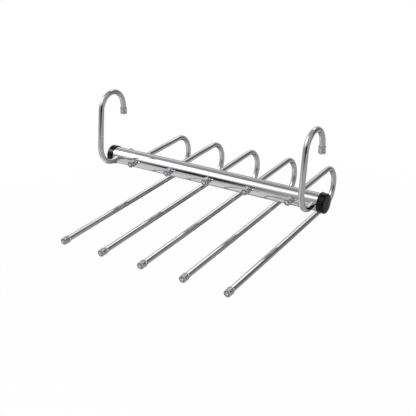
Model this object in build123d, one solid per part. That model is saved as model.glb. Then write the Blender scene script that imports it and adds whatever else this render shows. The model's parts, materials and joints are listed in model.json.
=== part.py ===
from build123d import *
import os
from math import cos, radians, sin

# Trouser hanger: one cross tube on two swivelling rail hooks, with five
# swinging U-bent arms through it. Millimetres, +Z up. +X runs along the
# cross tube to the right, and the open ends of the arms point to -Y.
# The origin is on the line through the centres of the two hook arches,
# halfway between the hooks: the axis of the wardrobe rail.

# Cross tube
tube_od = 25.0
tube_wall = 1.0

# Arms, bent from thin tube
arm_count = 5
arm_pitch = 65.0
arm_od = 8.0
arm_wall = 0.8
arm_drop = 58.0              # from the upper leg's axis to the lower leg's
bend_setback = 105.0         # from the cross tube's axis back to the bend
tip_reach = 178.0            # from the cross tube's axis forward to the tip
bead_height = 1.2            # rolled bead that stops the arm behind the tube

# Hooks, bent from heavier tube
hook_od = 8.0
hook_wall = 1.2
hook_spacing = 32.0          # from the outermost arm's axis to the hook's pin
left_inset = 20.0            # from the left hook's pin to the hanger's left end
right_inset = 16.0           # from the right hook's pin to its right end
hook_neck = 9.2              # straight part between the cross tube and the bend
foot_radius = 26.5           # bend at the foot, on the rod's axis
shank_lean = 8.0             # degrees, backwards
shank_length = 53.0
arch_radius = 25.5           # bend over the rail, on the rod's axis
hook_tip_drop = 14.0         # from the arch's end down to the tip
pin_tail = 11.0              # how far the capped pin stands out behind the tube

# Push-on caps of the rod ends
cap_wall = 1.1
cap_end_wall = 1.6
cap_length = 10.0
cap_rounding = 0.9

# Slip-over caps of the cross tube
end_cap_wall = 1.2
end_cap_face = 2.0
end_cap_length = 10.5
end_cap_crown = 0.6
end_cap_rounding = 1.6

# Clearances
pivot_clearance = 0.05       # radial, of a rod in its hole through the tube
push_clearance = 0.03        # radial, of a cap on its rod or tube
side_clearance = 0.3         # between a cap or bead and the tube's wall
overrun = 5.0                # how far a cutter runs past what it cuts

# Derived places
tube_radius = tube_od / 2
arms_span = (arm_count - 1) * arm_pitch
hook_x = arms_span / 2 + hook_spacing
left_end = -(hook_x + left_inset)
right_end = hook_x + right_inset
lean = radians(shank_lean)
foot_front = tube_radius + hook_neck
arch_turn = 180.0 - shank_lean

# The arch's centre above and in front of the pin gives the tube its place
arch_rise = foot_radius * (1 + sin(lean)) + shank_length * cos(lean) - arch_radius * sin(lean)
arch_front = foot_front + foot_radius * cos(lean) - shank_length * sin(lean) - arch_radius * cos(lean)
tube_y = arch_front
tube_z = -arch_rise


def pivot_places():
    """The X of each arm's pivot, from left to right."""
    return [index * arm_pitch - arms_span / 2 for index in range(arm_count)]


def side_plane(x):
    """A plane across the cross tube at x, with its origin on the tube's axis."""
    return Plane(origin=(x, tube_y, tube_z), x_dir=(0, 1, 0), z_dir=(1, 0, 0))


def bent_tube(path, diameter, wall):
    """A round tube along a path."""
    section = Circle(diameter / 2) - Circle(diameter / 2 - wall)
    start = Plane(origin=path @ 0, z_dir=path % 0)
    return sweep(start * section, path=path)


def rod_cap(diameter):
    """A round push-on cap with its mouth at the origin and its end up +Z."""
    outer_radius = diameter / 2 + push_clearance + cap_wall
    body = Cylinder(outer_radius, cap_length, align=(Align.CENTER, Align.CENTER, Align.MIN))
    body = fillet(body.edges().sort_by(Axis.Z)[-1], min(cap_rounding, cap_wall))
    bore_depth = cap_length - cap_end_wall
    bore = Cylinder(
        diameter / 2 + push_clearance,
        bore_depth + overrun,
        align=(Align.CENTER, Align.CENTER, Align.MAX),
    )
    return body - Pos(0, 0, bore_depth) * bore


def cap_on(path, diameter):
    """The cap on a path's far end, with its closed end past the rod's."""
    mouth = path @ 1 - (path % 1) * (cap_length - cap_end_wall)
    return Plane(origin=mouth, z_dir=path % 1) * rod_cap(diameter)


def reversed_cap_on(path, diameter):
    """The cap on a path's near end."""
    mouth = path @ 0 + (path % 0) * (cap_length - cap_end_wall)
    return Plane(origin=mouth, z_dir=(path % 0) * -1) * rod_cap(diameter)


def arm_path(x):
    """Upper leg through the cross tube, U-bend behind it, lower leg forward."""
    stub_end = tube_radius + side_clearance + cap_length - cap_end_wall
    upper = Line((-stub_end, 0), (bend_setback, 0))
    bend = JernArc(upper @ 1, upper % 1, arm_drop / 2, -180)
    lower = Line(bend @ 1, (-(tip_reach - cap_end_wall), -arm_drop))
    return side_plane(x) * (upper + bend + lower).wires()[0]


def make_arm(x):
    """A U-bent arm, with the rolled bead on its upper leg."""
    bead_y = tube_y + tube_radius + side_clearance + bead_height
    facing_back = Plane(origin=(x, bead_y, tube_z), z_dir=(0, 1, 0))
    bore = Cylinder(arm_od / 2 - arm_wall, 2 * (bead_height + overrun))
    bead = Torus(arm_od / 2, bead_height) - bore
    return bent_tube(arm_path(x), arm_od, arm_wall) + facing_back * bead


def hook_path(x):
    """Pin through the cross tube, foot bend, leaning shank, arch and tip."""
    pin_end = tube_radius + pin_tail - cap_end_wall
    pin = Line((pin_end, 0), (-foot_front, 0))
    foot = JernArc(pin @ 1, pin % 1, foot_radius, -(90 + shank_lean))
    shank = Line(foot @ 1, foot @ 1 + (foot % 1) * shank_length)
    arch = JernArc(shank @ 1, shank % 1, arch_radius, -arch_turn)
    tip = Line(arch @ 1, arch @ 1 + (arch % 1) * (hook_tip_drop - cap_end_wall))
    return side_plane(x) * (pin + foot + shank + arch + tip).wires()[0]


def make_main_tube():
    """The cross tube, drilled through for each arm and each hook's pin."""
    section = Circle(tube_radius) - Circle(tube_radius - tube_wall)
    tube = extrude(section, amount=right_end - left_end - 2 * end_cap_face)
    tube = Plane(origin=(left_end + end_cap_face, tube_y, tube_z), z_dir=(1, 0, 0)) * tube
    drills = [(x, arm_od) for x in pivot_places()]
    drills += [(-hook_x, hook_od), (hook_x, hook_od)]
    for x, diameter in drills:
        drill = Cylinder(diameter / 2 + pivot_clearance, tube_od + 2 * overrun)
        tube -= Plane(origin=(x, tube_y, tube_z), z_dir=(0, 1, 0)) * drill
    return tube


def make_end_cap(end_x):
    """A slip-over cap with a crowned face at end_x, and its mouth inwards."""
    bore_radius = tube_radius + push_clearance
    outer_radius = bore_radius + end_cap_wall
    mouth = -end_cap_length
    shoulder = -end_cap_crown
    profile = Polyline(
        (0, 0),
        (0, -end_cap_face),
        (bore_radius, -end_cap_face),
        (bore_radius, mouth),
        (outer_radius, mouth),
        (outer_radius, shoulder),
    )
    crown_radius = (outer_radius**2 + end_cap_crown**2) / (2 * end_cap_crown)
    crown = RadiusArc((outer_radius, shoulder), (0, 0), -crown_radius)
    outline = make_face(profile + crown)
    corner = outline.vertices().sort_by_distance((outer_radius, shoulder))[0]
    outline = fillet(corner, end_cap_rounding)
    cap = revolve(Plane.XZ * outline, Axis.Z)
    return Plane(origin=(end_x, tube_y, tube_z), z_dir=(end_x, 0, 0)) * cap


def all_nodes():
    """Every piece, by the name of its node."""
    nodes = {"main_tube": make_main_tube()}
    for name, pin_x, end_x in (("left", -hook_x, left_end), ("right", hook_x, right_end)):
        path = hook_path(pin_x)
        nodes[f"{name}_end_cap"] = make_end_cap(end_x)
        nodes[f"{name}_hook"] = bent_tube(path, hook_od, hook_wall)
        nodes[f"{name}_hook_tip_cap"] = cap_on(path, hook_od)
        nodes[f"{name}_hook_pin_cap"] = reversed_cap_on(path, hook_od)
    for number, x in enumerate(pivot_places(), start=1):
        path = arm_path(x)
        nodes[f"arm_{number}"] = make_arm(x)
        nodes[f"arm_{number}_tip_cap"] = cap_on(path, arm_od)
        nodes[f"arm_{number}_stub_cap"] = reversed_cap_on(path, arm_od)
    return nodes


def main():
    os.makedirs("parts", exist_ok=True)
    for name, shape in all_nodes().items():
        export_step(shape, f"parts/{name}.step")


if __name__ == "__main__":
    main()
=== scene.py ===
import json
from math import ceil, copysign, cos, degrees, pi, radians, sin
from typing import NamedTuple

import bmesh
import bpy
from bpy.props import FloatProperty, FloatVectorProperty, IntProperty, PointerProperty
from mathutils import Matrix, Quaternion, Vector

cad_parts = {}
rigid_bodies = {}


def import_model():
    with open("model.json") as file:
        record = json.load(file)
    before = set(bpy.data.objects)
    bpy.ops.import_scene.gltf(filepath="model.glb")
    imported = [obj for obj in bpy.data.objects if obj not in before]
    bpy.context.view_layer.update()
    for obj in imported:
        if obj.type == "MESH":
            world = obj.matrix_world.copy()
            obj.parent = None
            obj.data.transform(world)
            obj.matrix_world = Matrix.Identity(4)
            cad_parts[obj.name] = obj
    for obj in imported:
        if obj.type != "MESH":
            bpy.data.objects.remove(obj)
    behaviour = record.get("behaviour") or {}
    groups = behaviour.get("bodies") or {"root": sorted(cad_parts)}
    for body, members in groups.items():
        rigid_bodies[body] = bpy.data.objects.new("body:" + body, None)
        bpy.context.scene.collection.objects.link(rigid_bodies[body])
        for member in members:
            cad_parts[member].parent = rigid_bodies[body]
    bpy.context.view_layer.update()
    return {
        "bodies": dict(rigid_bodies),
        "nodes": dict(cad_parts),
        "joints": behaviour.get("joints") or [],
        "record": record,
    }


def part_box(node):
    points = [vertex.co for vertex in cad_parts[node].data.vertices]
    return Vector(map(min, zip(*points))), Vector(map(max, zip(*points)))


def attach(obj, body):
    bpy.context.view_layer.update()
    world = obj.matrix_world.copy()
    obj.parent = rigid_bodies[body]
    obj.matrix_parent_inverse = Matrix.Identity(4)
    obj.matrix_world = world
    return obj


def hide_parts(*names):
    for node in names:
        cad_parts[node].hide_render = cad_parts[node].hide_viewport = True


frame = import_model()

bl_info = {
    "name": "Trouser Hanger",
    "version": (1, 0, 0),
    "blender": (4, 5, 0),
    "location": "View3D > Sidebar > Hanger",
    "description": "Dresses the tube, hooks, arms and caps of a trouser hanger, and its stage",
    "category": "Object",
}

MM = 0.001

# What the packed model says about the hanger, in metres
JOINTS = {joint["child"]: joint for joint in frame["joints"]}
MOUNTS = {mount["name"]: mount for mount in frame["record"]["mounts"]}
ARMS = sorted(body for body in frame["bodies"] if body.startswith("arm_"))
HOOKS = sorted(body for body in frame["bodies"] if body.endswith("_hook"))
PIVOT = Vector(JOINTS[ARMS[0]]["pos_m"])
BAR = MOUNTS[f"{ARMS[0]}_bar"]
ARCH = MOUNTS[f"{HOOKS[0]}_arch"]
ARM_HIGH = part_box(ARMS[0])[1]
CAP_LOW, CAP_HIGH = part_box(f"{ARMS[0]}_tip_cap")
STUB_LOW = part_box(f"{ARMS[0]}_stub_cap")[0]
PIN_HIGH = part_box(f"{HOOKS[0]}_pin_cap")[1]
HOOK_TIP_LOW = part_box(f"{HOOKS[0]}_tip_cap")[0]
TUBE_LOW, TUBE_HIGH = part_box("main_tube")
TUBE_RADIUS = (TUBE_HIGH[2] - TUBE_LOW[2]) / 2
ROD_RADIUS = BAR["dims"]["r_mm"] * MM
ARM_DROP = PIVOT.z - BAR["pos_m"][2]


class RodSettings(bpy.types.PropertyGroup):
    """The 8 mm rod that the arms and the hooks are bent from."""

    radius: FloatProperty(
        name="Rod radius", description="Outer radius of the rod",
        default=ROD_RADIUS, min=MM, unit="LENGTH",
    )
    arm_wall: FloatProperty(
        name="Arm wall", description="Wall of the arms' tube",
        default=0.8 * MM, min=0.1 * MM, unit="LENGTH",
    )
    hook_wall: FloatProperty(
        name="Hook wall", description="Wall of the hooks' tube",
        default=1.2 * MM, min=0.1 * MM, unit="LENGTH",
    )
    cut_edge: FloatProperty(
        name="Cut edge", description="Width of the broken edge where the rod is cut off",
        default=0.25 * MM, min=0.0, unit="LENGTH",
    )
    flattening: FloatProperty(
        name="Flattening",
        description="How much a bend flattens the rod, as a share of its radius",
        default=0.035, min=0.0, max=0.3, subtype="FACTOR",
    )
    sides: IntProperty(name="Sides", description="Faces round a rod", default=40, min=8)
    bend_step: FloatProperty(
        name="Bend step", description="Turn of one ring of faces in a bend",
        default=radians(4.0), min=radians(1.0), subtype="ANGLE", unit="ROTATION",
    )


class ArmSettings(bpy.types.PropertyGroup):
    """The U-bent arms that swing in the cross tube."""

    drop: FloatProperty(
        name="Drop", description="From the upper leg's axis down to the lower leg's",
        default=ARM_DROP, min=MM, unit="LENGTH",
    )
    bend_setback: FloatProperty(
        name="Setback", description="From the cross tube's axis back to the bend",
        default=ARM_HIGH[1] - ROD_RADIUS - ARM_DROP / 2 - PIVOT.y, min=MM, unit="LENGTH",
    )
    tip_reach: FloatProperty(
        name="Reach", description="From the cross tube's axis forward to the end of the cap",
        default=PIVOT.y - CAP_LOW[1], min=MM, unit="LENGTH",
    )
    stub_reach: FloatProperty(
        name="Stub", description="From the cross tube's axis forward to the end of the stub's cap",
        default=PIVOT.y - STUB_LOW[1], min=MM, unit="LENGTH",
    )
    bead_height: FloatProperty(
        name="Bead", description="Height of the rolled bead behind the cross tube",
        default=1.2 * MM, min=0.0, unit="LENGTH",
    )
    bead_gap: FloatProperty(
        name="Bead gap", description="From the cross tube's wall to the bead",
        default=0.3 * MM, min=0.0, unit="LENGTH",
    )


class HookSettings(bpy.types.PropertyGroup):
    """The two hooks that go over the wardrobe rail."""

    foot_radius: FloatProperty(
        name="Foot bend", description="Radius of the bend above the cross tube, on the rod's axis",
        default=26.5 * MM, min=MM, unit="LENGTH",
    )
    arch_radius: FloatProperty(
        name="Arch", description="Radius of the arch over the rail, on the rod's axis",
        default=ARCH["dims"]["r_mm"] * MM + ROD_RADIUS, min=MM, unit="LENGTH",
    )
    shank_lean: FloatProperty(
        name="Lean", description="How far the shank leans backwards",
        default=radians(8.0), subtype="ANGLE", unit="ROTATION",
    )
    tip_drop: FloatProperty(
        name="Tip", description="From the arch's centre down to the end of the tip's cap",
        default=ARCH["pos_m"][2] - HOOK_TIP_LOW[2], min=MM, unit="LENGTH",
    )
    pin_reach: FloatProperty(
        name="Pin", description="From the cross tube's axis back to the end of the pin's cap",
        default=PIN_HIGH[1] - PIVOT.y, min=MM, unit="LENGTH",
    )


class CapSettings(bpy.types.PropertyGroup):
    """The clear caps pushed on the rod ends."""

    radius: FloatProperty(
        name="Cap radius", description="Outer radius of a rod cap",
        default=(CAP_HIGH[0] - CAP_LOW[0]) / 2, min=MM, unit="LENGTH",
    )
    length: FloatProperty(
        name="Cap length", description="Length of a rod cap",
        default=CAP_HIGH[1] - CAP_LOW[1], min=MM, unit="LENGTH",
    )
    fit: FloatProperty(
        name="Fit", description="Gap between the rod and the cap's bore",
        default=0.03 * MM, min=0.0, unit="LENGTH",
    )
    end_wall: FloatProperty(
        name="End wall", description="Thickness of the closed end",
        default=1.6 * MM, min=0.1 * MM, unit="LENGTH",
    )
    rounding: FloatProperty(
        name="Rounding", description="Radius of the rounded end",
        default=0.9 * MM, min=0.0, unit="LENGTH",
    )
    lip: FloatProperty(
        name="Lip", description="Length of the thicker rim at the mouth",
        default=1.4 * MM, min=0.0, unit="LENGTH",
    )
    lip_step: FloatProperty(
        name="Lip step", description="How far the rim stands out of the cap's side",
        default=0.14 * MM, min=0.0, unit="LENGTH",
    )
    gate_radius: FloatProperty(
        name="Gate mark", description="Radius of the dimple that the moulding gate leaves",
        default=0.9 * MM, min=0.0, unit="LENGTH",
    )
    gate_depth: FloatProperty(
        name="Gate depth", description="Depth of the gate's dimple",
        default=0.22 * MM, min=0.0, unit="LENGTH",
    )
    sides: IntProperty(name="Sides", description="Faces round a cap", default=40, min=8)


class FinishSettings(bpy.types.PropertyGroup):
    """Colours and polish of the hanger's materials."""

    tube_steel: FloatVectorProperty(
        name="Tube steel", description="Colour of the polished cross tube",
        default=(0.83, 0.83, 0.85), size=3, min=0.0, max=1.0, subtype="COLOR",
    )
    rod_steel: FloatVectorProperty(
        name="Rod steel", description="Colour of the polished rods",
        default=(0.84, 0.84, 0.845), size=3, min=0.0, max=1.0, subtype="COLOR",
    )
    tube_polish: FloatProperty(
        name="Tube polish", description="Roughness of the cross tube between its marks",
        default=0.08, min=0.0, max=1.0, subtype="FACTOR",
    )
    rod_polish: FloatProperty(
        name="Rod polish", description="Roughness of the rods between their marks",
        default=0.05, min=0.0, max=1.0, subtype="FACTOR",
    )
    cap_black: FloatVectorProperty(
        name="End cap black", description="Colour of the cross tube's end caps",
        default=(0.002, 0.002, 0.0025), size=3, min=0.0, max=1.0, subtype="COLOR",
    )
    cap_gloss: FloatProperty(
        name="End cap gloss", description="Roughness of the end caps between their scuffs",
        default=0.14, min=0.0, max=1.0, subtype="FACTOR",
    )
    vinyl: FloatVectorProperty(
        name="Clear vinyl", description="Colour of the clear caps",
        default=(0.94, 0.925, 0.965), size=3, min=0.0, max=1.0, subtype="COLOR",
    )
    vinyl_gloss: FloatProperty(
        name="Vinyl gloss", description="Roughness of the clear caps",
        default=0.08, min=0.0, max=1.0, subtype="FACTOR",
    )


class StageSettings(bpy.types.PropertyGroup):
    """Camera, floor and light."""

    aim: FloatVectorProperty(
        name="Aim", description="Point that the camera looks at",
        default=(0.0082, -0.01046, -0.11554), size=3, subtype="TRANSLATION", unit="LENGTH",
    )
    distance: FloatProperty(
        name="Distance", description="From the camera to the point it looks at",
        default=1.08, min=0.1, unit="LENGTH",
    )
    azimuth: FloatProperty(
        name="Azimuth", description="How far the camera stands to the right of the front",
        default=radians(32.502), subtype="ANGLE", unit="ROTATION",
    )
    elevation: FloatProperty(
        name="Elevation", description="How far the camera looks down",
        default=radians(25.775), subtype="ANGLE", unit="ROTATION",
    )
    roll: FloatProperty(
        name="Roll", description="Tilt of the camera about its line of sight",
        default=radians(-0.918), subtype="ANGLE", unit="ROTATION",
    )
    lens: FloatProperty(
        name="Lens", description="Focal length on a sensor 36 mm wide",
        default=65.933, min=1.0, subtype="DISTANCE_CAMERA",
    )
    floor_depth: FloatProperty(
        name="Floor depth", description="From the wardrobe rail's axis down to the floor",
        default=0.5, min=0.2, unit="LENGTH",
    )
    floor_radius: FloatProperty(
        name="Floor radius", description="Radius of the round floor",
        default=6.0, min=1.0, unit="LENGTH",
    )
    floor_shade: FloatProperty(
        name="Floor shade", description="Share of the floor's look that takes light and shadow",
        default=0.03, min=0.0, max=1.0, subtype="FACTOR",
    )
    key_place: FloatVectorProperty(
        name="Key place", description="Centre of the soft box above the hanger's front left",
        default=(-0.79, -0.41, 0.6), size=3, subtype="TRANSLATION", unit="LENGTH",
    )
    key_size: FloatVectorProperty(
        name="Key size", description="Width and depth of the soft box",
        default=(0.28, 0.24), size=2, unit="LENGTH",
    )
    key_brightness: FloatProperty(
        name="Key brightness", description="Brightness of the soft box's face, where 1 is white",
        default=17.0, min=0.0,
    )
    fill_place: FloatVectorProperty(
        name="Fill place", description="Centre of the large fill light in front of the hanger",
        default=(1.05, -1.15, 0.35), size=3, subtype="TRANSLATION", unit="LENGTH",
    )
    fill_size: FloatVectorProperty(
        name="Fill size", description="Width and height of the fill light",
        default=(1.2, 1.2), size=2, unit="LENGTH",
    )
    fill_brightness: FloatProperty(
        name="Fill brightness",
        description="Brightness of the fill light's face, where 1 is white",
        default=2.6, min=0.0,
    )


# Bent rods and moulded caps

# Faces that meet at more than this have a crisp edge
SHARP_EDGE = radians(32.0)
# A bend flattens the rod over the first and the last of so many parts of its length
BEND_PARTS = 6.0
BEAD_STEPS = 14
ROUNDING_STEPS = 6
# How a rod cap's gate mark runs, as shares of the mark's radius and depth
GATE_FLOOR_SHARE = 0.6
GATE_SLOPE_SHARE = 0.85
GATE_SLOPE_DEPTH_SHARE = 0.3
# How the rim at its mouth runs, as shares of the rim's length
RIM_SLOPE_SHARE = 1.35
RIM_EDGE_SHARE = 0.2
RIM_CORNER_SHARE = 0.06
MOUTH_DEPTH_SHARE = 0.3
# How far the mouth of its bore widens, as a share of the fit
MOUTH_FLARE_SHARE = 8.0


def smooth_step(share):
    """0 below 0, 1 above 1, and a smooth rise between them."""
    share = min(max(share, 0.0), 1.0)
    return share * share * (3.0 - 2.0 * share)


class RodPath:
    """The centre line of a bent rod in its upright plane, as (y, z) places."""

    def __init__(self, start, heading):
        self.runs = []
        self.length = 0.0
        self.end = Vector(start)
        self.heading = heading

    def straight(self, length):
        self._add(length, 0.0)

    def bend(self, radius, turn):
        """Turns through an angle, to the left where it is positive."""
        self._add(radius * abs(turn), copysign(1.0 / radius, turn))

    def _add(self, length, curvature):
        self.runs.append((self.length, length, curvature, self.end, self.heading))
        self.length += length
        self.end, self.heading, _ = self.at(self.length)

    def at(self, travelled):
        """The place and heading at a distance along the rod, and how fully it is bent there."""
        run = [run for run in self.runs if run[0] <= travelled][-1]
        begin, length, curvature, place, heading = run
        along = travelled - begin
        if not curvature:
            return place + along * Vector((cos(heading), sin(heading))), heading, 0.0
        turned = heading + curvature * along
        centre = place + Vector((-sin(heading), cos(heading))) / curvature
        ease = min(along, length - along) / (length / BEND_PARTS)
        return centre - Vector((-sin(turned), cos(turned))) / curvature, turned, smooth_step(ease)

    def marks(self, step):
        """Where the rod needs a ring of faces: at its runs' ends and in steps round its bends."""
        found = []
        for begin, length, curvature, _, _ in self.runs:
            count = max(1, ceil(length * abs(curvature) / step))
            found += [begin + length * index / count for index in range(count)]
        return found + [self.length]


def mark_sharp(bm, angle):
    """Keeps the edges crisp where two faces meet at more than an angle, and smooths the rest."""
    for face in bm.faces:
        face.smooth = True
    for edge in bm.edges:
        edge.smooth = len(edge.link_faces) != 2 or edge.calc_face_angle(0.0) < angle


def piece_from(bm, name, body, node, material):
    """A piece that stands for a CAD node and moves with its body."""
    bmesh.ops.recalc_face_normals(bm, faces=bm.faces)
    mark_sharp(bm, SHARP_EDGE)
    mesh = bpy.data.meshes.new(name)
    bm.to_mesh(mesh)
    bm.free()
    mesh.materials.append(material)
    piece = bpy.data.objects.new(name, mesh)
    bpy.context.scene.collection.objects.link(piece)
    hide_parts(node)
    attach(piece, body)
    return piece


def swept_tube(path, x, rod, wall, bead_at=None, bead_height=0.0, bead_half=1.0):
    """A round tube along a path, open at both ends, with a rolled bead where one is asked for.

    Its layer "straightened" holds the place of each point on the rod before it was bent."""
    bm = bmesh.new()
    layer = bm.verts.layers.float_vector.new("straightened")
    edge = rod.cut_edge
    marks = set(path.marks(rod.bend_step)) | {edge, path.length - edge}
    if bead_at is not None:
        shares = [2.0 * index / BEAD_STEPS - 1.0 for index in range(BEAD_STEPS + 1)]
        marks |= {bead_at + bead_half * share for share in shares}
    marks = sorted(marks)

    def swell(travelled):
        if bead_at is None or abs(travelled - bead_at) >= bead_half:
            return 0.0
        return bead_height * cos(pi * (travelled - bead_at) / (2.0 * bead_half)) ** 2

    def ring(travelled, radius):
        place, heading, bent = path.at(travelled)
        centre = Vector((x, place.x, place.y))
        across = Vector((1.0, 0.0, 0.0))
        upright = Vector((0.0, -sin(heading), cos(heading))) * (1.0 - rod.flattening * bent)
        made = []
        for index in range(rod.sides):
            angle = 2.0 * pi * index / rod.sides
            vert = bm.verts.new(centre + radius * (cos(angle) * across + sin(angle) * upright))
            vert[layer] = (radius * cos(angle), radius * sin(angle), travelled)
            made.append(vert)
        return made

    outside = [(mark, rod.radius + swell(mark)) for mark in marks]
    inside = [(mark, rod.radius - wall + swell(mark)) for mark in marks]
    outside[0], outside[-1] = (0.0, rod.radius - edge), (path.length, rod.radius - edge)
    rings = [ring(*step) for step in outside + inside[::-1]]
    for first, second in zip(rings, rings[1:] + rings[:1]):
        for index in range(rod.sides):
            after = (index + 1) % rod.sides
            bm.faces.new((first[index], first[after], second[after], second[index]))
    return bm


def lathe(outline, place, axis, sides):
    """Turns an outline of (radius, height) pairs round an axis through a place.

    Its layer "straightened" holds each point's place with the axis upright."""
    bm = bmesh.new()
    layer = bm.verts.layers.float_vector.new("straightened")
    turn = axis.to_track_quat("Z", "Y")

    def vertex(radius, height, angle):
        local = Vector((radius * cos(angle), radius * sin(angle), height))
        vert = bm.verts.new(place + turn @ local)
        vert[layer] = local
        return vert

    rings = []
    for radius, height in outline:
        count = sides if radius else 1
        rings.append([vertex(radius, height, 2.0 * pi * index / count) for index in range(count)])
    for first, second in zip(rings, rings[1:]):
        for index in range(sides):
            after = (index + 1) % sides
            corners = [first[index % len(first)], first[after % len(first)]]
            corners += [second[after % len(second)], second[index % len(second)]]
            bm.faces.new(list(dict.fromkeys(corners)))
    return bm


def arm_path(arms, caps):
    """Stub and upper leg, bend, and the lower leg forward to the tip."""
    stub_end = arms.stub_reach - caps.end_wall
    path = RodPath((PIVOT.y - stub_end, PIVOT.z), 0.0)
    path.straight(stub_end + arms.bend_setback)
    path.bend(arms.drop / 2.0, -pi)
    path.straight(arms.bend_setback + arms.tip_reach - caps.end_wall)
    return path


def hook_path(hooks, caps):
    """Pin through the cross tube, foot bend, leaning shank, arch and tip."""
    lean = hooks.shank_lean
    foot_z = PIVOT.z + hooks.foot_radius
    foot_y = (sin(lean) * foot_z + hooks.foot_radius - hooks.arch_radius) / cos(lean)
    pin_end = hooks.pin_reach - caps.end_wall
    path = RodPath((PIVOT.y + pin_end, PIVOT.z), pi)
    path.straight(pin_end + PIVOT.y - foot_y)
    path.bend(hooks.foot_radius, -(pi / 2.0 + lean))
    path.straight(-foot_y * sin(lean) - foot_z * cos(lean))
    path.bend(hooks.arch_radius, -(pi - lean))
    path.straight(hooks.tip_drop - caps.end_wall)
    return path


def cap_outline(caps, rod_radius):
    """Half a section of a rod cap, from the middle of its closed end to the bottom of its bore."""
    end, radius = caps.length, caps.radius
    side = radius - caps.lip_step
    gate = caps.gate_radius
    slope_depth = caps.gate_depth * GATE_SLOPE_DEPTH_SHARE
    outline = [(0.0, end - caps.gate_depth), (gate * GATE_FLOOR_SHARE, end - caps.gate_depth)]
    outline += [(gate * GATE_SLOPE_SHARE, end - slope_depth), (gate, end)]
    for index in range(ROUNDING_STEPS + 1):
        angle = pi / 2.0 * index / ROUNDING_STEPS
        outline.append((
            side - caps.rounding * (1.0 - sin(angle)),
            end - caps.rounding * (1.0 - cos(angle)),
        ))
    edge, corner = caps.lip * RIM_EDGE_SHARE, caps.lip * RIM_CORNER_SHARE
    outline += [(side, caps.lip * RIM_SLOPE_SHARE), (radius, caps.lip), (radius, edge)]
    outline += [(radius - corner, corner), (radius - edge, 0.0)]
    bore = rod_radius + caps.fit
    mouth = bore + caps.fit * MOUTH_FLARE_SHARE
    depth = end - caps.end_wall
    outline += [(mouth, 0.0), (bore, caps.lip * MOUTH_DEPTH_SHARE)]
    return outline + [(bore, depth), (0.0, depth)]


# Materials


class Pattern(NamedTuple):
    """Noise over a surface."""

    # Turns a metre along each axis, of which the last runs along the rod or the tube
    scales: tuple
    detail: float = 2.0
    roughness: float = 0.5
    # How it is turned against the rod
    turn: tuple = ()
    # The noise at which its marks begin to show and at which they show fully
    shows: tuple = ()


# In the steel
DRAWING_LINES = Pattern((2600.0, 2600.0, 14.0), detail=3.0, roughness=0.6)
FINE_LINES = Pattern((700.0, 700.0, 5.0))
WAVES = Pattern((150.0, 150.0, 22.0), detail=1.0)
SMUDGES = Pattern((95.0, 95.0, 38.0), detail=5.0, roughness=0.62, shows=(0.5, 0.72))
HAIRLINES = Pattern((2100.0, 1900.0, 60.0), turn=(0.35, 0.22, 0.1), shows=(0.7, 0.76))
NICKS = Pattern((1700.0, 1500.0, 110.0), detail=1.0, turn=(-0.9, 0.4, 0.0), shows=(0.76, 0.8))
# In the clear caps
CLOUDS = Pattern((180.0, 180.0, 120.0), detail=3.0)
FLOW_LINES = Pattern((420.0, 420.0, 40.0))
SCUFFS = Pattern((900.0, 900.0, 420.0), roughness=0.6, shows=(0.62, 0.76))
# In the black end caps
ORANGE_PEEL = Pattern((420.0, 420.0, 420.0))
RUBBED_PATCHES = Pattern((160.0, 160.0, 160.0), detail=5.0, roughness=0.65, shows=(0.52, 0.72))
FLECKS = Pattern((2400.0, 2100.0, 500.0), shows=(0.7, 0.77))

# Heights and depths on the surfaces, in millimetres
LINE_HEIGHT = 0.0005
FINE_LINE_HEIGHT = 0.001
WAVE_HEIGHT = 0.005
SCRATCH_DEPTH = 0.0004
FLOW_HEIGHT = 0.006
CLOUD_HEIGHT = 0.01
SCUFF_DEPTH = 0.0005
PEEL_HEIGHT = 0.012
RING_DEPTH = 0.05
FLECK_DEPTH = 0.003

# What each mark adds to the roughness of its surface
LINE_DULLNESS = 0.04
FINE_LINE_DULLNESS = 0.03
SMUDGE_DULLNESS = 0.04
SCRATCH_DULLNESS = 0.05
CLOUD_DULLNESS = 0.04
SCUFF_DULLNESS = 0.06
PEEL_DULLNESS = 0.04
RUB_DULLNESS = 0.14
FLECK_DULLNESS = 0.18

# The bent part of an arm is duller, and fades into the straight legs
BEND_DULLNESS = 0.2
BEND_FADE = 8.0 * MM
# No steel is smoother than this
FINEST_POLISH = 0.03

# How strong a hairline is beside a nick
HAIRLINE_SHARE = 0.6
# The steel's lighter and darker tone, as shares of its colour
STEEL_TONE_SHARES = (1.03, 0.86)
# Where the fine lines are lighter and darker, and what each mark adds to the darker tone
FINE_LINE_TONES = (0.2, 0.8)
FINE_LINE_SHARE = 0.35
SMUDGE_SHARE = 0.4
SCRATCH_SHARE = 0.25

# A clear cap's clearer and cloudier places, the cloudier ones' share of its colour, and how
# strongly its clear and its hazy part bend light
CLOUD_TONES = (0.3, 0.7)
CLOUD_SHARE = 0.95
CLEAR_IOR = 1.2
HAZE_IOR = 1.4
# How much haze there is in its wall, and what its thick end, clouds and scuffs add
WALL_HAZE = 0.1
END_HAZE = 0.5
CLOUD_HAZE = 0.2
SCUFF_HAZE = 0.1
# Where the thick end's haze begins and where it is full, from the bottom of the bore
HAZE_START = -0.3 * MM
HAZE_FULL = 0.5 * MM
# The tone of the haze, and what the closed end's painted light in its middle, the painted shade of
# the rod's cut end in a ring round it, and the clouds add or take
HAZE_TONE = 0.5
PAINTED_LIGHT_STRENGTH = 0.25
PAINTED_SHADE_STRENGTH = 0.32
CLOUD_DARKNESS = 0.04
# How far from the cap's axis the painted light in the middle and the painted shade ring lie, and
# how wide their soft edges are
PAINTED_LIGHT_RADIUS = 2.0 * MM
PAINTED_LIGHT_EDGE = 0.5 * MM
PAINTED_SHADE_RING = (2.5 * MM, ROD_RADIUS)
PAINTED_SHADE_RING_EDGE = 0.4 * MM

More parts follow.
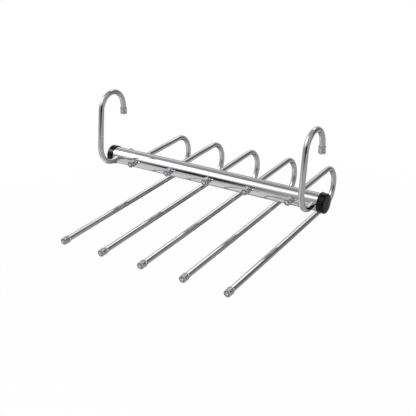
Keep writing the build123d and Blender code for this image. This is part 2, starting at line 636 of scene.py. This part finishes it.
# How far from its axis the marks on a black end cap's face lie, and their soft edges
TURNED_RING = (10.3 * MM, 10.8 * MM)
GATE_DOT = 0.9 * MM
FACE_MARK_EDGE = 0.2 * MM
# A worn place's share of the plastic's colour, and what it adds to it
WORN_SHARE = 2.0
WORN_LIFT = 0.001
# How far rubbing and flecks wear it
RUB_SHARE = 0.6
FLECK_SHARE = 0.4
# How strongly it reflects
PLASTIC_IOR = 1.5
PLASTIC_SHINE = 0.26

# The colour sockets of a Mix node
MIX_FIRST, MIX_SECOND, MIX_RESULT = 6, 7, 2


class Value:
    """A socket in an expression: each operator on it adds a Math node."""

    def __init__(self, bench, socket):
        self.bench = bench
        self.socket = socket

    def math(self, operation, *others):
        return self.bench.math(operation, self, *others)

    def __add__(self, other):
        return self.math("ADD", other)

    __radd__ = __add__

    def __sub__(self, other):
        return self.math("SUBTRACT", other)

    def __rsub__(self, other):
        return self.bench.math("SUBTRACT", other, self)

    def __mul__(self, other):
        return self.math("MULTIPLY", other)

    __rmul__ = __mul__

    def __neg__(self):
        return self * -1.0

    def rise(self, low, high):
        """0 below low, 1 above high, and a smooth rise between them."""
        settings = {"interpolation_type": "SMOOTHSTEP"}
        values = {"Value": self, "From Min": low, "From Max": high}
        return self.bench.node("ShaderNodeMapRange", settings, values)

    def below(self, high, soft):
        """1 below high and 0 above it, with a soft edge."""
        return 1.0 - self.rise(high - soft, high + soft)

    def band(self, low, high, soft):
        """1 between low and high, and 0 outside them, with soft edges."""
        return self.rise(low - soft, low + soft) * self.below(high, soft)

    def swing(self):
        """Noise about 0.5 as a swing about 0."""
        return self - 0.5


class Bench:
    """The node tree of a material or of the world."""

    def __init__(self, owner):
        owner.use_nodes = True
        self.tree = owner.node_tree
        self.tree.nodes.clear()

    def node(self, kind, settings=None, values=None, out=0):
        """Adds a node: its settings, then the values or links of its sockets.

        Gives one of its outputs, or the node itself."""
        node = self.tree.nodes.new(kind)
        for name, value in (settings or {}).items():
            setattr(node, name, value)
        for name, value in (values or {}).items():
            if isinstance(value, Value):
                self.tree.links.new(value.socket, node.inputs[name])
            else:
                node.inputs[name].default_value = value
        if out is None:
            return node
        return Value(self, node.outputs[out])

    def math(self, operation, *values):
        return self.node("ShaderNodeMath", {"operation": operation}, dict(enumerate(values)))

    def blend(self, factor, first, second):
        """A colour between two colours."""
        values = {0: factor, MIX_FIRST: first, MIX_SECOND: second}
        return self.node("ShaderNodeMix", {"data_type": "RGBA"}, values, MIX_RESULT)

    def noise(self, place, pattern):
        """Soft noise about 0.5 or, for a pattern of marks, how far they show, from 0 to 1."""
        if pattern.turn:
            turned = {"Vector": place, "Rotation": pattern.turn}
            place = self.node("ShaderNodeMapping", None, turned)
        scaled = {0: place, 1: pattern.scales}
        noise = self.node("ShaderNodeTexNoise", None, {
            "Vector": self.node("ShaderNodeVectorMath", {"operation": "MULTIPLY"}, scaled),
            "Scale": 1.0,
            "Detail": pattern.detail,
            "Roughness": pattern.roughness,
        })
        return noise.rise(*pattern.shows) if pattern.shows else noise

    def bump(self, height):
        """The normal of a surface with a height given in millimetres."""
        values = {"Strength": 1.0, "Distance": MM, "Height": height}
        return self.node("ShaderNodeBump", None, values)

    def parts(self, vector):
        """The X, Y and Z of a vector."""
        split = self.node("ShaderNodeSeparateXYZ", None, {0: vector}, None)
        return [Value(self, socket) for socket in split.outputs]

    def surface(self, shader):
        output = "World" if isinstance(self.tree.id_data, bpy.types.World) else "Material"
        self.node(f"ShaderNodeOutput{output}", None, {"Surface": shader}, None)


def new_bench(name):
    """A fresh material and the bench for its nodes."""
    material = bpy.data.materials.new(name)
    return material, Bench(material)


def from_axis(across, upright):
    """How far a place is from the axis."""
    return (across * across + upright * upright).math("SQRT")


def opaque(colour):
    return (*colour, 1.0)


def shaded(colour, share):
    return opaque(channel * share for channel in colour)


def polished_steel(name, colour, polish, straight, bend=None):
    """Polished steel: drawing lines along it, a slight waviness, scratches and finger smudges.

    straight takes the bench and gives the coordinates of the straight rod, with its length
    along Z. A bend from one place on it to another comes out of the bending die duller."""
    material, bench = new_bench(name)
    rod = straight(bench)
    lines = bench.noise(rod, DRAWING_LINES)
    fine = bench.noise(rod, FINE_LINES)
    waves = bench.noise(rod, WAVES)
    smudge = bench.noise(rod, SMUDGES)
    scratch = bench.noise(rod, HAIRLINES) * HAIRLINE_SHARE + bench.noise(rod, NICKS)
    scratch = scratch.math("MINIMUM", 1.0)
    roughness = polish + lines.swing() * LINE_DULLNESS + fine.swing() * FINE_LINE_DULLNESS
    roughness = roughness + smudge * SMUDGE_DULLNESS + scratch * SCRATCH_DULLNESS
    if bend:
        _, _, along = bench.parts(rod)
        roughness = roughness + along.band(*bend, BEND_FADE) * BEND_DULLNESS
    tone = fine.rise(*FINE_LINE_TONES) * FINE_LINE_SHARE
    tone = (tone + smudge * SMUDGE_SHARE + scratch * SCRATCH_SHARE).math("MINIMUM", 1.0)
    lighter, darker = (shaded(colour, share) for share in STEEL_TONE_SHARES)
    height = lines.swing() * LINE_HEIGHT + fine.swing() * FINE_LINE_HEIGHT
    height = height + waves.swing() * WAVE_HEIGHT - scratch * SCRATCH_DEPTH
    steel = bench.node("ShaderNodeBsdfPrincipled", None, {
        "Base Color": bench.blend(tone, lighter, darker),
        "Metallic": 1.0,
        "Roughness": roughness.math("MAXIMUM", FINEST_POLISH),
        "Normal": bench.bump(height),
    })
    bench.surface(steel)
    return material


def straightened(bench):
    """The place on a rod before it was bent."""
    return bench.node("ShaderNodeAttribute", {"attribute_name": "straightened"}, None, "Vector")


def along_cross_tube(bench):
    """The place on the cross tube, from its axis, with its length along Z."""
    place = bench.node("ShaderNodeTexCoord", None, None, "Object")
    x, y, z = bench.parts(place)
    return bench.node("ShaderNodeCombineXYZ", None, {0: y - PIVOT.y, 1: z - PIVOT.z, 2: x})


def clear_vinyl(colour, gloss, bore_depth):
    """Soft clear vinyl with a faint cloudiness, flow lines and light scuffs.

    Its thick closed end is hazier. A ring of painted shade there stands for the rod's cut end
    behind it, and painted light makes its middle paler."""
    material, bench = new_bench("clear_vinyl")
    cap = straightened(bench)
    across, upright, along = bench.parts(cap)
    radius = from_axis(across, upright)
    cloud = bench.noise(cap, CLOUDS)
    cloudy = cloud.rise(*CLOUD_TONES)
    flow = bench.noise(cap, FLOW_LINES)
    scuff = bench.noise(cap, SCUFFS)
    height = flow.swing() * FLOW_HEIGHT + cloud.swing() * CLOUD_HEIGHT - scuff * SCUFF_DEPTH
    thick = along.rise(bore_depth + HAZE_START, bore_depth + HAZE_FULL)
    # Painted light: the closed end is paler in its middle
    middle = radius.below(PAINTED_LIGHT_RADIUS, PAINTED_LIGHT_EDGE)
    # Painted shade: a dark ring where the rod's cut end lies behind the closed end
    ring = radius.band(*PAINTED_SHADE_RING, PAINTED_SHADE_RING_EDGE)
    painted_end_light_and_shade = middle * PAINTED_LIGHT_STRENGTH - ring * PAINTED_SHADE_STRENGTH
    # The haze's tone carries this painted light and shade at the closed end
    tone = HAZE_TONE + thick * painted_end_light_and_shade - cloudy * CLOUD_DARKNESS
    looks = {
        "Roughness": gloss + cloud.swing() * CLOUD_DULLNESS + scuff * SCUFF_DULLNESS,
        "Normal": bench.bump(height),
    }
    clear = bench.node("ShaderNodeBsdfPrincipled", None, {
        **looks,
        "Base Color": bench.blend(cloudy, opaque(colour), shaded(colour, CLOUD_SHARE)),
        "IOR": CLEAR_IOR,
        "Transmission Weight": 1.0,
    })
    haze = bench.node("ShaderNodeBsdfPrincipled", None, {
        **looks,
        "Base Color": bench.blend(tone, shaded(colour, 0.0), opaque(colour)),
        "IOR": HAZE_IOR,
    })
    share = WALL_HAZE + thick * END_HAZE + cloud.swing() * CLOUD_HAZE + scuff * SCUFF_HAZE
    bench.surface(bench.node("ShaderNodeMixShader", None, {0: share, 1: clear, 2: haze}))
    return material


def black_plastic(colour, gloss):
    """Glossy moulded plastic: a slight orange peel, a turned ring and a gate dot, and scuffs."""
    material, bench = new_bench("black_end_cap_plastic")
    tube = along_cross_tube(bench)
    across, upright, _ = bench.parts(tube)
    radius = from_axis(across, upright)
    peel = bench.noise(tube, ORANGE_PEEL)
    rub = bench.noise(tube, RUBBED_PATCHES)
    fleck = bench.noise(tube, FLECKS)
    ring = radius.band(*TURNED_RING, FACE_MARK_EDGE) + radius.below(GATE_DOT, FACE_MARK_EDGE)
    height = peel.swing() * PEEL_HEIGHT - ring * RING_DEPTH - fleck * FLECK_DEPTH
    worn = opaque(channel * WORN_SHARE + WORN_LIFT for channel in colour)
    roughness = gloss + peel.swing() * PEEL_DULLNESS + rub * RUB_DULLNESS + fleck * FLECK_DULLNESS
    plastic = bench.node("ShaderNodeBsdfPrincipled", None, {
        "Base Color": bench.blend(rub * RUB_SHARE + fleck * FLECK_SHARE, opaque(colour), worn),
        "Roughness": roughness,
        "IOR": PLASTIC_IOR,
        "Specular IOR Level": PLASTIC_SHINE,
        "Normal": bench.bump(height),
    })
    bench.surface(plastic)
    return material


# The light and dark panels that the polished steel sees round it, later ones over earlier
# ones. The middle and half width are bearings, in degrees to the right of the front, the
# lowest and highest places are degrees above the horizon, and a brightness of 1 is white.
# They were placed one by one and then fitted, until the steel's bands fell as in the photo.
ROOM = (
    # middle, half width, lowest, highest, softness, brightness
    (-65.0, 41.0, -95.0, -37.0, 2.0, 0.69),
    (-36.0, 23.0, -38.0, -9.0, 2.0, 0.62),
    (31.0, 33.0, -6.0, 29.0, 2.0, 0.02),
    (-61.0, 24.0, 24.0, 71.0, 12.0, 2.0),
    (-111.0, 67.0, 60.0, 67.0, 12.0, 0.08),
    (-179.0, 25.0, 34.0, 51.0, 2.0, 1.3),
    (-134.0, 37.0, 17.0, 33.0, 7.0, 1.04),
    (144.0, 26.0, -11.0, 50.0, 12.0, 0.12),
    (-178.0, 36.0, -50.0, -23.0, 12.0, 0.0),
    (-31.0, 4.0, -6.0, 26.0, 2.0, 0.01),
    (174.0, 20.0, -28.0, -22.0, 10.5, 1.13),
)
ROOM_BRIGHTNESS = 0.365
# The face of the soft box, which a polished surface shows as a glint
SOFT_BOX = (-57.0, 12.0, 37.0, 48.0, 4.0, 11.0)


def room_seen(bench, x, y, height, once=0.0):
    """How bright the room is towards x and y, at a height in radians above the horizon.

    The soft box is seen where once is 1, which is in a first mirroring."""
    bearing = x.math("ARCTAN2", -y) * degrees(1.0)
    height = height * degrees(1.0)
    seen = ROOM_BRIGHTNESS
    for share, part in [(1.0, part) for part in ROOM] + [(once, SOFT_BOX)]:
        middle, half, low, high, soft, brightness = part
        off = (bearing - middle).math("WRAP", 180.0, -180.0).math("ABSOLUTE")
        mask = off.below(half, soft) * height.band(low, high, soft) * share
        seen = seen + mask * (brightness - seen)
    return seen


def looked_through(bench, paths):
    """1 where the white ground is seen straight or through a clear cap, and not in a mirror."""
    camera_ray = Value(bench, paths.outputs["Is Camera Ray"])
    through_ray = Value(bench, paths.outputs["Is Transmission Ray"])
    mirrored = Value(bench, paths.outputs["Glossy Depth"]).math("MINIMUM", 1.0)
    return (camera_ray + through_ray * (1.0 - mirrored)).math("MINIMUM", 1.0)


def dress(node, material):
    """Gives a CAD node its finish."""
    for slot in frame["nodes"][node].material_slots:
        slot.material = material


# Operators


class HANGER_OT_cross_tube(bpy.types.Operator):
    """Polish the cross tube"""

    bl_idname = "hanger.cross_tube"
    bl_label = "Cross tube"

    def execute(self, context):
        finish = context.scene.hanger_finish
        steel = polished_steel(
            "polished_cross_tube", finish.tube_steel, finish.tube_polish, along_cross_tube)
        dress("main_tube", steel)
        return {"FINISHED"}


class HANGER_OT_end_caps(bpy.types.Operator):
    """Finish the two black end caps of the cross tube"""

    bl_idname = "hanger.end_caps"
    bl_label = "End caps"

    def execute(self, context):
        finish = context.scene.hanger_finish
        plastic = black_plastic(finish.cap_black, finish.cap_gloss)
        for side in ("left", "right"):
            dress(f"{side}_end_cap", plastic)
        return {"FINISHED"}


class HANGER_OT_arms(bpy.types.Operator):
    """Bend the swinging arms and roll their beads"""

    bl_idname = "hanger.arms"
    bl_label = "Arms"

    def execute(self, context):
        scene = context.scene
        rod, arms, finish = scene.hanger_rod, scene.hanger_arms, scene.hanger_finish
        path = arm_path(arms, scene.hanger_caps)
        begin, length = path.runs[1][:2]
        bend = (begin, begin + length)
        steel = polished_steel(
            "polished_arm_tube", finish.rod_steel, finish.rod_polish, straightened, bend)
        half = arms.bead_height + arms.bead_gap
        start, _, _ = path.at(0.0)
        bead_at = PIVOT.y + TUBE_RADIUS + half - start.x
        for arm in ARMS:
            x = JOINTS[arm]["pos_m"][0]
            bm = swept_tube(path, x, rod, rod.arm_wall, bead_at, arms.bead_height, half)
            piece_from(bm, f"{arm}_bent_tube", arm, arm, steel)
        return {"FINISHED"}


class HANGER_OT_hooks(bpy.types.Operator):
    """Bend the two rail hooks"""

    bl_idname = "hanger.hooks"
    bl_label = "Hooks"

    def execute(self, context):
        scene = context.scene
        rod, finish = scene.hanger_rod, scene.hanger_finish
        steel = polished_steel(
            "polished_hook_tube", finish.rod_steel, finish.rod_polish, straightened)
        path = hook_path(scene.hanger_hooks, scene.hanger_caps)
        for hook in HOOKS:
            bm = swept_tube(path, JOINTS[hook]["pos_m"][0], rod, rod.hook_wall)
            piece_from(bm, f"{hook}_bent_tube", hook, hook, steel)
        return {"FINISHED"}


class HANGER_OT_rod_caps(bpy.types.Operator):
    """Mould the clear caps on all rod ends"""

    bl_idname = "hanger.rod_caps"
    bl_label = "Rod caps"

    def execute(self, context):
        scene = context.scene
        caps, finish = scene.hanger_caps, scene.hanger_finish
        depth = caps.length - caps.end_wall
        vinyl = clear_vinyl(finish.vinyl, finish.vinyl_gloss, depth)
        outline = cap_outline(caps, scene.hanger_rod.radius)
        arm, hook = arm_path(scene.hanger_arms, caps), hook_path(scene.hanger_hooks, caps)
        ends = [(body, arm, "stub_cap", "tip_cap") for body in ARMS]
        ends += [(body, hook, "pin_cap", "tip_cap") for body in HOOKS]
        for body, path, near, far in ends:
            x = JOINTS[body]["pos_m"][0]
            for cap, travelled, way in ((near, 0.0, -1.0), (far, path.length, 1.0)):
                place, heading, _ = path.at(travelled)
                out = way * Vector((0.0, cos(heading), sin(heading)))
                mouth = Vector((x, place.x, place.y)) - out * depth
                bm = lathe(outline, mouth, out, caps.sides)
                piece_from(bm, f"{body}_{cap}_moulded", body, f"{body}_{cap}", vinyl)
        return {"FINISHED"}


# The camera's sensor in millimetres, and how near and far it sees in metres
SENSOR_WIDTH = 36.0
SIGHT = (0.01, 50.0)
FLOOR_SIDES = 96
FLOOR_PAINT = (0.88, 0.88, 0.88)
# The floor's shade fades out between these distances from under the hanger
SHADE_FADE = (0.5, 1.6)
# Watts for each square metre of a lamp whose face has a brightness of 1
LAMP_WATTS = 4.0
# Cycles counts 1 glossy bounce at the first mirror and 2 at the second
SECOND_MIRROR = (1.4, 1.6)


class HANGER_OT_stage(bpy.types.Operator):
    """Set up the camera, the white floor, the lamps and the room"""

    bl_idname = "hanger.stage"
    bl_label = "Stage"

    def execute(self, context):
        scene = context.scene
        stage = scene.hanger_stage
        key = (stage.key_place, stage.key_size, stage.key_brightness)
        fill = (stage.fill_place, stage.fill_size, stage.fill_brightness)
        self.place_camera(scene, stage)
        self.lay_floor(scene, stage)
        self.hang_lamp(scene, "soft_box", *key)
        self.hang_lamp(scene, "fill_light", *fill)
        self.light_room(scene)
        scene.view_settings.view_transform = "Standard"
        return {"FINISHED"}

    def place_camera(self, scene, stage):
        lens = bpy.data.cameras.new("camera")
        lens.lens = stage.lens
        lens.sensor_width = SENSOR_WIDTH
        lens.clip_start, lens.clip_end = SIGHT
        camera = bpy.data.objects.new("camera", lens)
        scene.collection.objects.link(camera)
        back = Vector((
            sin(stage.azimuth) * cos(stage.elevation),
            -cos(stage.azimuth) * cos(stage.elevation),
            sin(stage.elevation),
        ))
        camera.location = Vector(stage.aim) + back * stage.distance
        level = (-back).to_track_quat("-Z", "Y")
        camera.rotation_mode = "QUATERNION"
        camera.rotation_quaternion = level @ Quaternion((0.0, 0.0, 1.0), stage.roll)
        scene.camera = camera

    def lay_floor(self, scene, stage):
        """A round floor that the camera sees white, with a share of its shade.

        Steel sees the lower part of the room in it."""
        bm = bmesh.new()
        bmesh.ops.create_circle(
            bm, cap_ends=True, segments=FLOOR_SIDES, radius=stage.floor_radius)
        mesh = bpy.data.meshes.new("floor")
        bm.to_mesh(mesh)
        bm.free()
        floor = bpy.data.objects.new("floor", mesh)
        floor.location = (0.0, 0.0, -stage.floor_depth)
        scene.collection.objects.link(floor)

        material, bench = new_bench("white_floor")
        mesh.materials.append(material)
        place = bench.node("ShaderNodeTexCoord", None, None, "Object")
        x, y, _ = bench.parts(place)
        distance = from_axis(x, y)
        depth = stage.floor_depth + PIVOT.z
        seen = room_seen(bench, x, y, bench.math("ARCTAN2", -depth, distance))
        paths = bench.node("ShaderNodeLightPath", None, None, None)
        camera_ray = Value(bench, paths.outputs["Is Camera Ray"])
        glossy_ray = Value(bench, paths.outputs["Is Glossy Ray"])
        plain = looked_through(bench, paths)
        white = bench.node("ShaderNodeEmission", None, {
            "Color": seen + (1.0 - seen) * plain,
            "Strength": 1.0,
        })
        lit = bench.node("ShaderNodeBsdfDiffuse", None, {"Color": opaque(FLOOR_PAINT)})
        looked_at = (plain + glossy_ray).math("MINIMUM", 1.0)
        shade = stage.floor_shade * (1.0 - distance.rise(*SHADE_FADE)) * camera_ray
        values = {0: looked_at - shade, 1: lit, 2: white}
        bench.surface(bench.node("ShaderNodeMixShader", None, values))

    def hang_lamp(self, scene, name, place, size, brightness):
        """A flat lamp that faces the hanger and lights its matt surfaces and the floor.

        Polished surfaces don't see it: they see the room."""
        width, height = size
        light = bpy.data.lights.new(name, "AREA")
        light.shape = "RECTANGLE"
        light.size, light.size_y = width, height
        light.energy = LAMP_WATTS * width * height * brightness
        lamp = bpy.data.objects.new(name, light)
        lamp.location = place
        lamp.rotation_mode = "QUATERNION"
        lamp.rotation_quaternion = (Vector(place) - PIVOT).to_track_quat("Z", "Y")
        lamp.visible_camera = False
        lamp.visible_glossy = False
        scene.collection.objects.link(lamp)

    def light_room(self, scene):
        """The room round the hanger, which the camera and the clear caps see as plain white."""
        world = bpy.data.worlds.new("room")
        scene.world = world
        bench = Bench(world)
        x, y, z = bench.parts(bench.node("ShaderNodeTexCoord", None, None, "Generated"))
        paths = bench.node("ShaderNodeLightPath", None, None, None)
        glossy_ray = Value(bench, paths.outputs["Is Glossy Ray"])
        through_ray = Value(bench, paths.outputs["Is Transmission Ray"])
        mirrors = Value(bench, paths.outputs["Glossy Depth"])
        once = glossy_ray * (1.0 - through_ray) * (1.0 - mirrors.rise(*SECOND_MIRROR))
        room = room_seen(bench, x, y, z.math("ARCSINE"), once)
        plain = looked_through(bench, paths)
        bench.surface(bench.node("ShaderNodeBackground", None, {
            "Color": room + (1.0 - room) * plain,
            "Strength": 1.0,
        }))


class HANGER_PT_sidebar(bpy.types.Panel):
    """The hanger's sizes, finishes and steps"""

    bl_idname = "HANGER_PT_sidebar"
    bl_label = "Trouser Hanger"
    bl_space_type = "VIEW_3D"
    bl_region_type = "UI"
    bl_category = "Hanger"

    def draw(self, context):
        layout = self.layout
        for name, settings in SETTINGS.items():
            box = layout.box()
            box.label(text=settings.__doc__)
            group = getattr(context.scene, name)
            for prop in settings.__annotations__:
                box.prop(group, prop)
        column = layout.column(align=True)
        for step in STEPS:
            column.operator(step.bl_idname)


SETTINGS = {
    "hanger_rod": RodSettings,
    "hanger_arms": ArmSettings,
    "hanger_hooks": HookSettings,
    "hanger_caps": CapSettings,
    "hanger_finish": FinishSettings,
    "hanger_stage": StageSettings,
}
STEPS = (
    HANGER_OT_cross_tube,
    HANGER_OT_end_caps,
    HANGER_OT_arms,
    HANGER_OT_hooks,
    HANGER_OT_rod_caps,
    HANGER_OT_stage,
)


def register():
    for settings in SETTINGS.values():
        bpy.utils.register_class(settings)
    for step in STEPS:
        bpy.utils.register_class(step)
    bpy.utils.register_class(HANGER_PT_sidebar)
    for name, settings in SETTINGS.items():
        setattr(bpy.types.Scene, name, PointerProperty(type=settings))


def unregister():
    for name in SETTINGS:
        delattr(bpy.types.Scene, name)
    bpy.utils.unregister_class(HANGER_PT_sidebar)
    for step in reversed(STEPS):
        bpy.utils.unregister_class(step)
    for settings in SETTINGS.values():
        bpy.utils.unregister_class(settings)


def main():
    register()
    bpy.ops.hanger.cross_tube()
    bpy.ops.hanger.end_caps()
    bpy.ops.hanger.arms()
    bpy.ops.hanger.hooks()
    bpy.ops.hanger.rod_caps()
    bpy.ops.hanger.stage()


if __name__ == "__main__":
    main()
